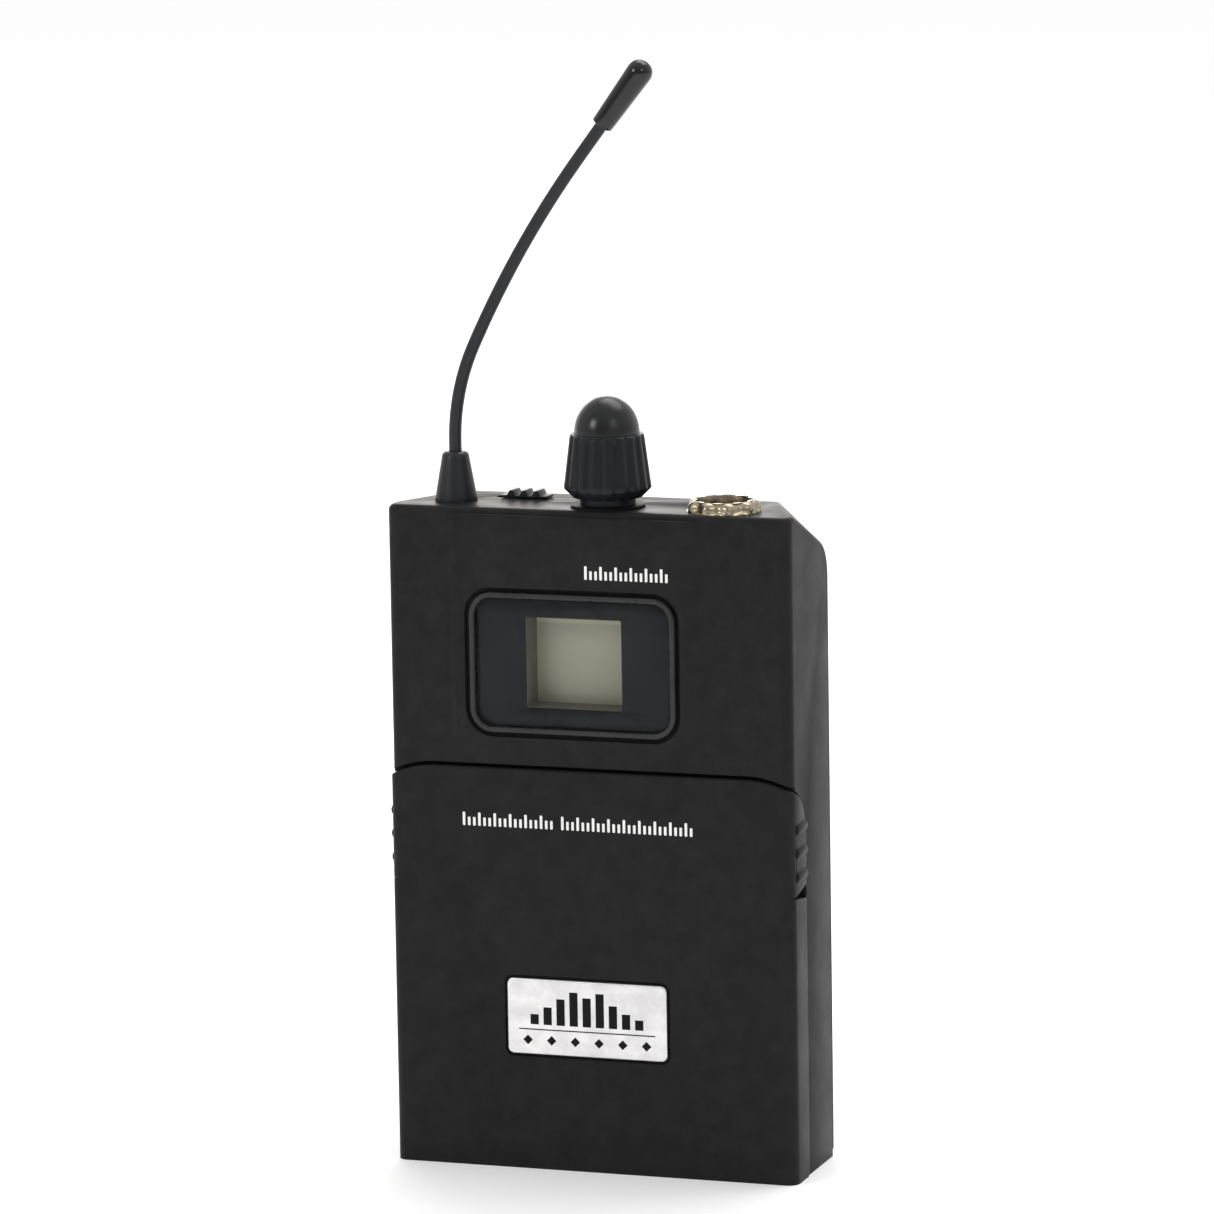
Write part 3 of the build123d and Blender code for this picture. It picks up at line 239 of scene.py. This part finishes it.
def make_board():
    """Green solder mask with copper tracks that show through as lighter lines."""
    mat = new_material("solder_mask", (0.012, 0.10, 0.045), 0.35)
    tree = mat.node_tree
    coord = tree.nodes.new("ShaderNodeTexCoord")
    tracks = tree.nodes.new("ShaderNodeTexVoronoi")
    tracks.distance = "MANHATTAN"
    tracks.inputs["Scale"].default_value = 260.0
    tree.links.new(coord.outputs["Object"], tracks.inputs["Vector"])
    color = ramp(mat, tracks.outputs["Distance"], 0.42, 0.55, (0.012, 0.085, 0.04), (0.03, 0.17, 0.075))
    tree.links.new(color, tree.nodes["Principled BSDF"].inputs["Base Color"])
    bump(mat, tracks.outputs["Distance"], 0.00003, 0.5)
    return mat


def make_cell():
    """A printed shrink jacket: dark green with two pale bands and a black top."""
    mat = new_material("cell_jacket", (0.03, 0.13, 0.07), 0.28)
    tree = mat.node_tree
    coord = tree.nodes.new("ShaderNodeTexCoord")
    split = tree.nodes.new("ShaderNodeSeparateXYZ")
    tree.links.new(coord.outputs["Object"], split.inputs["Vector"])
    low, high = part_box("battery_cell_left")
    place = tree.nodes.new("ShaderNodeMapRange")
    place.inputs["From Min"].default_value = low.z
    place.inputs["From Max"].default_value = high.z
    tree.links.new(split.outputs["Z"], place.inputs["Value"])
    bands = tree.nodes.new("ShaderNodeValToRGB")
    bands.color_ramp.interpolation = "CONSTANT"
    stops = ((0.0, (0.55, 0.55, 0.56)), (0.03, (0.02, 0.11, 0.06)), (0.36, (0.62, 0.64, 0.60)),
             (0.39, (0.02, 0.11, 0.06)), (0.72, (0.62, 0.64, 0.60)), (0.75, (0.018, 0.02, 0.02)))
    while len(bands.color_ramp.elements) < len(stops):
        bands.color_ramp.elements.new(0.5)
    for element, (position, color) in zip(bands.color_ramp.elements, stops):
        element.position = position
        element.color = (*color, 1)
    tree.links.new(place.outputs["Result"], bands.inputs["Fac"])
    tree.links.new(bands.outputs["Color"], tree.nodes["Principled BSDF"].inputs["Base Color"])
    vary(mat, "Roughness", noise(mat, 220.0), 0.22, 0.36)
    return mat


def make_window():
    """Clear acrylic that lets the display behind it show."""
    mat = new_material("clear_window", (0.02, 0.02, 0.02), 0.2, Alpha=0.05, Specular_IOR_Level=0.3)
    vary(mat, "Roughness", noise(mat, 300.0, 3.0), 0.17, 0.24)
    return mat


lcd_blank = make_lcd()
solder_mask = make_board()
cell_jacket = make_cell()
clear_window = make_window()

NODE_MATERIAL = {
    "hinge_pins": steel, "battery_tray": black_plastic, "control_panel": black_plastic,
    "battery_cell_left": cell_jacket, "battery_cell_right": cell_jacket,
    "battery_springs": tinned, "battery_contacts": tinned,
    "control_board": solder_mask, "main_board": solder_mask, "tact_switches": insert_black,
    "lcd_frame": lcd_surround, "lcd_panel": lcd_blank, "lcd_backlight": lcd_surround,
    "shield_can": tinned, "board_screws": steel, "antenna_terminal": gold,
    "pot_body": tinned, "pot_shaft": steel, "pot_nut": knob_plastic, "switch_body": tinned,
    "socket_shell": nickel, "socket_insert": insert_black, "socket_pins": gold,
    "clip_pin": steel, "clip_spring": tinned, "clip_screws": screw_black,
    "case_screws": screw_black,
}
for node, material in NODE_MATERIAL.items():
    mesh = nodes[node].data
    mesh.materials.clear()
    mesh.materials.append(material)


# ---------------------------------------------------------------- geometry helpers

def add_piece(name, mesh, body, material, *replaced, slot=None):
    """Puts a mesh in the scene, on its body, in its material, in place of its CAD nodes."""
    piece = bpy.data.objects.new(name, mesh)
    scene.collection.objects.link(piece)
    mesh.materials.clear()
    mesh.materials.append(material)
    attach(piece, body)
    if replaced:
        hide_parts(*replaced)
    return piece


def shade(mesh, angle=30.0):
    """Smooth shading with creases where faces meet at more than the angle."""
    mesh.shade_smooth()
    mesh.set_sharp_from_angle(angle=math.radians(angle))


def body_of(node):
    return nodes[node]["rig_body"]


MERGE_DISTANCE = 2e-7
FLAT_ANGLE = math.radians(0.4)
BEVEL_ANGLE = math.radians(32.0)


def softened(node, width, material, segments=2):
    """The CAD piece with its remaining sharp edges broken by a small rounded bevel."""
    mesh = nodes[node].data.copy()
    build = bmesh.new()
    build.from_mesh(mesh)
    bmesh.ops.remove_doubles(build, verts=build.verts, dist=MERGE_DISTANCE)
    bmesh.ops.dissolve_limit(build, angle_limit=FLAT_ANGLE, verts=build.verts, edges=build.edges)
    build.to_mesh(mesh)
    build.free()
    piece = add_piece(node + "_skin", mesh, body_of(node), material, node)
    bevel = piece.modifiers.new("edge", "BEVEL")
    bevel.width = width
    bevel.segments = segments
    bevel.limit_method = "ANGLE"
    bevel.angle_limit = BEVEL_ANGLE
    bevel.harden_normals = False
    graph = bpy.context.evaluated_depsgraph_get()
    finished = bpy.data.meshes.new_from_object(piece.evaluated_get(graph))
    piece.modifiers.clear()
    piece.data = finished
    shade(finished, 38.0)
    return piece


def lathe(name, profile, centre, steps=96, radius_at=None, turn=None):
    """Turns (radius, height) pairs about +Z; radius_at may vary the radius with angle and height."""
    build = bmesh.new()
    rings = []
    for radius, height in profile:
        if radius <= 0:
            rings.append([build.verts.new((0, 0, height))])
            continue
        ring = []
        for step in range(steps):
            angle = 2 * math.pi * step / steps
            r = radius_at(radius, height, angle) if radius_at else radius
            ring.append(build.verts.new((r * math.cos(angle), r * math.sin(angle), height)))
        rings.append(ring)
    for low, high in zip(rings, rings[1:]):
        for step in range(steps):
            after = (step + 1) % steps
            if len(low) == 1:
                build.faces.new((low[0], high[after], high[step]))
            elif len(high) == 1:
                build.faces.new((low[step], low[after], high[0]))
            else:
                build.faces.new((low[step], low[after], high[after], high[step]))
    bmesh.ops.recalc_face_normals(build, faces=build.faces)
    place = Matrix.Translation(centre) @ (turn or Matrix.Identity(4))
    bmesh.ops.transform(build, matrix=place, verts=build.verts)
    mesh = bpy.data.meshes.new(name)
    build.to_mesh(mesh)
    build.free()
    return mesh


def arc_points(centre, radius, start, end, count):
    """Points on an arc in (radius, height) space, angles in degrees."""
    points = []
    for index in range(count + 1):
        angle = math.radians(start + (end - start) * index / count)
        points.append((centre[0] + radius * math.cos(angle), centre[1] + radius * math.sin(angle)))
    return points


# ---------------------------------------------------------------- camera, floor and light

CAMERA_AZIMUTH = math.radians(18.93)
CAMERA_ELEVATION = math.radians(9.79)
CAMERA_ROLL = math.radians(-0.93)
CAMERA_DISTANCE = 1.09981
CAMERA_TARGET = Vector((0.00349, -0.0108, 0.08977))
CAMERA_LENS = 212.0
# the studio is brightest behind the object and above it, a little to its left
BRIGHT_SIDE = (-0.1, 0.75, 0.55)


def make_camera():
    side = math.cos(CAMERA_ELEVATION)
    back = Vector((
        math.sin(CAMERA_AZIMUTH) * side,
        -math.cos(CAMERA_AZIMUTH) * side,
        math.sin(CAMERA_ELEVATION),
    ))
    right = Vector((math.cos(CAMERA_AZIMUTH), math.sin(CAMERA_AZIMUTH), 0))
    up = back.cross(right)
    x_axis = right * math.cos(CAMERA_ROLL) + up * math.sin(CAMERA_ROLL)
    y_axis = up * math.cos(CAMERA_ROLL) - right * math.sin(CAMERA_ROLL)
    place = Matrix((x_axis, y_axis, back)).transposed().to_4x4()
    place.translation = CAMERA_TARGET + back * CAMERA_DISTANCE
    data = bpy.data.cameras.new("camera")
    data.lens = CAMERA_LENS
    data.sensor_width = 36.0
    data.clip_start = 0.01
    camera = bpy.data.objects.new("camera", data)
    camera.matrix_world = place
    scene.collection.objects.link(camera)
    scene.camera = camera


FLOOR_HALF = 4.0
FLOOR_GLOW = 0.18


def make_floor():
    mesh = bpy.data.meshes.new("floor")
    half = FLOOR_HALF
    corners = [(-half, -half, 0), (half, -half, 0), (half, half, 0), (-half, half, 0)]
    mesh.from_pydata(corners, [], [(0, 1, 2, 3)])
    floor = bpy.data.objects.new("floor", mesh)
    scene.collection.objects.link(floor)
    glow = {"Emission_Color": (1, 1, 1, 1), "Emission_Strength": FLOOR_GLOW}
    mat = new_material("floor_pale", (0.92, 0.92, 0.92), 0.8, **glow)
    mesh.materials.append(mat)


def area_light(name, place, target, size, power, color=(1, 1, 1)):
    data = bpy.data.lights.new(name, "AREA")
    data.shape = "RECTANGLE"
    data.size, data.size_y = size
    data.energy = power
    data.color = color
    light = bpy.data.objects.new(name, data)
    light.location = place
    light.rotation_euler = (Vector(place) - Vector(target)).to_track_quat("Z", "Y").to_euler()
    scene.collection.objects.link(light)


def make_light():
    world = bpy.data.worlds.new("studio")
    world.use_nodes = True
    tree = world.node_tree
    background = tree.nodes["Background"]
    background.inputs["Color"].default_value = (1, 1, 1, 1)
    coord = tree.nodes.new("ShaderNodeTexCoord")
    toward = tree.nodes.new("ShaderNodeVectorMath")
    toward.operation = "DOT_PRODUCT"
    toward.inputs[1].default_value = BRIGHT_SIDE
    tree.links.new(coord.outputs["Generated"], toward.inputs[0])
    strength = tree.nodes.new("ShaderNodeMapRange")
    strength.inputs["From Min"].default_value = -0.7
    strength.inputs["From Max"].default_value = 0.6
    strength.inputs["To Min"].default_value = 0.3
    strength.inputs["To Max"].default_value = 1.01
    tree.links.new(toward.outputs["Value"], strength.inputs["Value"])
    tree.links.new(strength.outputs["Result"], background.inputs["Strength"])
    scene.world = world
    middle = (0, 0, 0.06)
    area_light("right_softbox", (0.58, -0.58, 0.55), middle, (0.2, 0.2), 0.6)
    area_light("left_softbox", (-0.52, -0.72, 0.5), middle, (0.3, 0.3), 1.6)
    area_light("top_softbox", (0.1, 0.35, 0.9), middle, (0.8, 0.5), 4.0)
    area_light("rear_panel", (-0.55, 1.4, 0.42), middle, (1.2, 0.5), 6.2, (1.0, 0.95, 0.9))
    scene.view_settings.view_transform = "Standard"


make_camera()
make_floor()
make_light()


# ---------------------------------------------------------------- shell pieces

EDGE = 0.14 * MM
softened("main_housing", EDGE, housing_plastic)
softened("rear_cover", EDGE, housing_plastic)
softened("battery_door", EDGE, housing_plastic)
softened("release_tab_left", EDGE, housing_plastic)
softened("release_tab_right", EDGE, housing_plastic)
softened("display_bezel", 0.06 * MM, bezel_gloss)
softened("display_mask", 0.02 * MM, mask_gloss)
softened("display_window", 0.05 * MM, clear_window)
softened("badge_plate", 0.06 * MM, badge_silver)
softened("badge_emblem", 0.03 * MM, ink_black)
softened("switch_slider", 0.12 * MM, knob_plastic, segments=3)
softened("set_button_up", 0.15 * MM, button_grey)
softened("set_button_down", 0.15 * MM, button_grey)
softened("clip_bracket", 0.2 * MM, clip_black)
softened("belt_clip", 0.25 * MM, clip_black)


# ---------------------------------------------------------------- knob

def axis_of(node):
    low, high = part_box(node)
    return (low + high) / 2, low, high


FLUTES = 18
FLUTE_DEPTH = 0.36 * MM
FLUTE_FADE = 0.5 * MM
PLAIN_RADIUS = 5.75 * MM
SKIRT_TAPER = 1.0 * MM
SKIRT_FLARE = 1.45 * MM
SKIRT_THROAT = 5.4 * MM


def knob():
    middle, low, high = axis_of("knob_skirt")
    centre = Vector((middle.x, middle.y, 0))
    bottom, top = low.z, high.z
    wide = (high.x - low.x) / 2
    narrow = wide - SKIRT_TAPER
    flare = bottom + SKIRT_FLARE

    def fluted(radius, height, angle):
        if radius < PLAIN_RADIUS:
            return radius
        depth = FLUTE_DEPTH
        if height < flare:
            depth *= max(0.0, (height - bottom) / (flare - bottom)) ** 0.5
        if height > top - FLUTE_FADE:
            depth *= max(0.0, (top - height) / FLUTE_FADE)
        wave = 0.5 + 0.5 * math.cos(FLUTES * angle)
        return radius - depth * wave ** 1.6

    profile = [(0, bottom), (3.0 * MM, bottom), (SKIRT_THROAT, bottom)]
    for t in (0.33, 0.66, 0.95):
        profile.append((SKIRT_THROAT + (wide - SKIRT_THROAT) * t, bottom + SKIRT_FLARE * t))
    profile += [(wide, flare + 0.12 * MM)]
    for index in range(1, 9):
        t = index / 8
        profile.append((wide + (narrow - wide) * t, flare + (top - 0.55 * MM - flare) * t))
    profile += [(narrow - 0.08 * MM, top - 0.25 * MM), (narrow - 0.3 * MM, top - 0.05 * MM)]
    profile += [(SKIRT_THROAT, top), (5.2 * MM, top), (0, top)]
    mesh = lathe("knob_skirt_fluted", profile, centre, FLUTES * 14, fluted)
    shade(mesh, 50)
    add_piece("knob_skirt_fluted", mesh, body_of("knob_skirt"), knob_plastic, "knob_skirt")


DOME_STEPS = 32


def dome():
    """A rounded dome whose sides are a little fuller than an ellipse's."""
    middle, low, high = axis_of("knob_dome")
    centre = Vector((middle.x, middle.y, 0))
    radius = (high.x - low.x) / 2
    bottom, top = low.z, high.z
    rise = top - bottom
    profile = []
    for index in range(DOME_STEPS):
        angle = math.radians(90 * index / DOME_STEPS)
        profile.append((radius * math.cos(angle) ** 0.92, bottom + rise * math.sin(angle) ** 1.04))
    profile.append((0, top))
    mesh = lathe("knob_dome_smooth", profile, centre, 96)
    shade(mesh, 60)
    add_piece("knob_dome_smooth", mesh, body_of("knob_dome"), dome_gloss, "knob_dome")


SHAFT_CLEARANCE = 3.1 * MM
DISC_LIP = 0.15 * MM


# the disc under the knob, drawn in an extra-dark black that is partly painted shade
def washer():
    middle, low, high = axis_of("knob_washer")
    centre = Vector((middle.x, middle.y, 0))
    radius = (high.x - low.x) / 2
    profile = [(SHAFT_CLEARANCE, low.z), (radius, low.z), (radius, high.z - DISC_LIP)]
    profile += [(radius - DISC_LIP, high.z), (SHAFT_CLEARANCE, high.z)]
    mesh = lathe("knob_foot_disc", profile + profile[:1], centre, 96)
    shade(mesh, 30)
    add_piece("knob_foot_disc", mesh, body_of("knob_washer"), foot_black_and_shade, "knob_washer")


knob()
dome()
washer()


# ---------------------------------------------------------------- antenna

BOOT_MOUTH = 2.1 * MM
BOOT_FOOT = 0.3 * MM


def boot():
    middle, low, high = axis_of("antenna_boot")
    centre = Vector((middle.x, middle.y, 0))
    wide = (high.x - low.x) / 2
    narrow = BOOT_MOUTH
    height = high.z - low.z
    profile = [(1.6 * MM, low.z), (wide, low.z), (wide, low.z + BOOT_FOOT)]
    for index in range(1, 9):
        t = index / 8
        profile.append((wide + (narrow - wide) * t, low.z + BOOT_FOOT + (height - 0.9 * MM) * t))
    profile += [(narrow - 0.12 * MM, high.z - 0.3 * MM), (narrow - 0.45 * MM, high.z - 0.04 * MM)]
    profile += [(1.25 * MM, high.z), (1.01 * MM, high.z), (1.01 * MM, high.z - 3 * MM)]
    mesh = lathe("antenna_boot_turned", profile, centre, 64)
    shade(mesh, 45)
    add_piece("antenna_boot_turned", mesh, body_of("antenna_boot"), rubber_sheath, "antenna_boot")


WHIP_RADIUS = 1.0 * MM
# each bend is a radius and an angle in degrees
LOW_BEND = (35.5 * MM, 25.0)
HIGH_BEND = (165.7 * MM, 12.0)
WHIP_ROOT_RUN = 5.6 * MM
WHIP_END_RUN = 10.2 * MM
BEND_STEPS = 24
WHIP_SIDES = 28


def whip_line():
    """Points and leans along the whip: a straight root, two bends towards +X and a straight end."""
    boot_middle = axis_of("antenna_boot")[0]
    x, z, lean = boot_middle.x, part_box("antenna_whip")[0].z, 0.0
    line = [(x, z, lean)]
    z += WHIP_ROOT_RUN
    line.append((x, z, lean))
    for radius, turn in (LOW_BEND, HIGH_BEND):
        step = math.radians(turn) / BEND_STEPS
        for _ in range(BEND_STEPS):
            chord = 2 * radius * math.sin(step / 2)
            x += chord * math.sin(lean + step / 2)
            z += chord * math.cos(lean + step / 2)
            lean += step
            line.append((x, z, lean))
    x += WHIP_END_RUN * math.sin(lean)
    z += WHIP_END_RUN * math.cos(lean)
    line.append((x, z, lean))
    return line, boot_middle.y


def whip():
    line, y = whip_line()
    build = bmesh.new()
    rings = []
    for x, z, lean in line:
        across = Vector((math.cos(lean), 0, -math.sin(lean)))
        ring = []
        for step in range(WHIP_SIDES):
            angle = 2 * math.pi * step / WHIP_SIDES
            offset = across * math.cos(angle) + Vector((0, 1, 0)) * math.sin(angle)
            ring.append(build.verts.new(Vector((x, y, z)) + offset * WHIP_RADIUS))
        rings.append(ring)
    for low, high in zip(rings, rings[1:]):
        for step in range(WHIP_SIDES):
            after = (step + 1) % WHIP_SIDES
            build.faces.new((low[step], low[after], high[after], high[step]))
    build.faces.new(list(reversed(rings[0])))
    build.faces.new(rings[-1])
    bmesh.ops.recalc_face_normals(build, faces=build.faces)
    mesh = bpy.data.meshes.new("antenna_whip_sheath")
    build.to_mesh(mesh)
    build.free()
    shade(mesh, 40)
    add_piece("antenna_whip_sheath", mesh, body_of("antenna_whip"), rubber_sheath, "antenna_whip")


TIP_LENGTH = 12.3 * MM
TIP_OVERLAP = 4.0 * MM
TIP_RADIUS = 2.05 * MM
TIP_NECK = 1.72 * MM
TIP_NECK_TOP = 0.3 * MM


def tip():
    line, y = whip_line()
    x, z, lean = line[-1]
    start = Vector((x - TIP_OVERLAP * math.sin(lean), y, z - TIP_OVERLAP * math.cos(lean)))
    profile = [(WHIP_RADIUS, 0), (1.5 * MM, 0), (1.66 * MM, 0.08 * MM), (TIP_NECK, TIP_NECK_TOP)]
    straight = TIP_LENGTH - TIP_RADIUS
    for index in range(1, 7):
        t = index / 6
        run = TIP_NECK_TOP + (straight - TIP_NECK_TOP) * t
        profile.append((TIP_NECK + (TIP_RADIUS - TIP_NECK) * t, run))
    profile += arc_points((0, straight), TIP_RADIUS, 6, 84, 13)
    profile.append((0, TIP_LENGTH))
    turn = Matrix.Rotation(lean, 4, "Y")
    mesh = lathe("antenna_tip_cap", profile, start, 64, turn=turn)
    shade(mesh, 50)
    add_piece("antenna_tip_cap", mesh, body_of("antenna_tip"), cap_gloss, "antenna_tip")


boot()
whip()
tip()


# ---------------------------------------------------------------- socket ring

RING_LOBES = 9
RING_TURN = 0.6
RING_INNER = 4.5 * MM
RING_COLLAR = 4.75 * MM
LOBE_DEPTH = 0.75 * MM
LOBE_FADE = 0.25 * MM
RING_CROWN = 1.1 * MM


def ring():
    middle, low, high = axis_of("socket_ring")
    centre = Vector((middle.x, middle.y, 0))
    outer = (high.x - low.x) / 2
    inner = RING_INNER
    bottom, top = low.z, high.z

    def lobed(radius, height, angle):
        if radius < RING_COLLAR:
            return radius
        wave = 0.5 - 0.5 * math.cos(RING_LOBES * angle + RING_TURN)
        fade = min(1.0, (height - bottom) / LOBE_FADE)
        return radius - LOBE_DEPTH * (1 - wave) * fade

    profile = [(inner, bottom), (outer, bottom), (outer, bottom + 0.15 * MM), (outer, bottom + 0.35 * MM)]
    profile += arc_points((outer - RING_CROWN, top - RING_CROWN), RING_CROWN, 0, 90, 9)
    profile += [(inner + 0.2 * MM, top), (inner + 0.05 * MM, top - 0.06 * MM)]
    profile += [(inner, top - 0.2 * MM), (inner, bottom)]
    mesh = lathe("socket_ring_nut", profile, centre, RING_LOBES * 32, lobed)
    shade(mesh, 60)
    add_piece("socket_ring_nut", mesh, body_of("socket_ring"), nickel, "socket_ring")


ring()


# ---------------------------------------------------------------- printed marks

def printed_bars(name, body, y, bars, slot):
    """Flat white ink bars on a front face: bars are (centre x, centre z, width, height)."""
    build = bmesh.new()
    thick = 0.03 * MM
    for x, z, width, height in bars:
        corner = min(width, height) * 0.25
        outline = []
        for sx, sz, start in ((1, 1, 0), (-1, 1, 90), (-1, -1, 180), (1, -1, 270)):
            for index in range(4):
                angle = math.radians(start + 30 * index)
                outline.append((
                    x + sx * (width / 2 - corner) + corner * math.cos(angle),
                    z + sz * (height / 2 - corner) + corner * math.sin(angle),
                ))
        front = [build.verts.new((px, y - thick, pz)) for px, pz in outline]
        rear = [build.verts.new((px, y + thick, pz)) for px, pz in outline]
        build.faces.new(front)
        build.faces.new(list(reversed(rear)))
        count = len(outline)
        for index in range(count):
            after = (index + 1) % count
            build.faces.new((front[index], rear[index], rear[after], front[after]))
    bmesh.ops.recalc_face_normals(build, faces=build.faces)
    mesh = bpy.data.meshes.new(name)
    build.to_mesh(mesh)
    build.free()
    add_piece(name, mesh, body, ink_white, slot=slot)


# sizes of the printed scales, in millimetres
TICK_WIDTH = 0.42
TICK_PITCH = 0.84
TICK_TALL = 2.1
TICK_SHORT = 1.35
UPPER_LINE = 95.0
LOWER_LINE = 55.4


def scale_marks(left, right, z):
    """A plain scale of thin upright ticks: every third one is tall, the others stand on the same line."""
    count = round((right - left) / TICK_PITCH)
    ticks = []
    for index in range(count + 1):
        height = TICK_TALL if index % 3 == 0 else TICK_SHORT
        x = left + (right - left) * index / count
        ticks.append((x * MM, (z + (height - TICK_TALL) / 2) * MM, TICK_WIDTH * MM, height * MM))
    return ticks


platform_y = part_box("display_window")[0].y
door_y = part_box("battery_door")[0].y
upper_ticks = scale_marks(0.2, 13.3, UPPER_LINE)
lower_ticks = scale_marks(-20.6, -6.2, LOWER_LINE) + scale_marks(-4.4, 16.6, LOWER_LINE)
printed_bars("upper_marks", "housing", platform_y, upper_ticks, "badge_silver")
printed_bars("lower_marks", "battery_door", door_y, lower_ticks, "badge_silver")
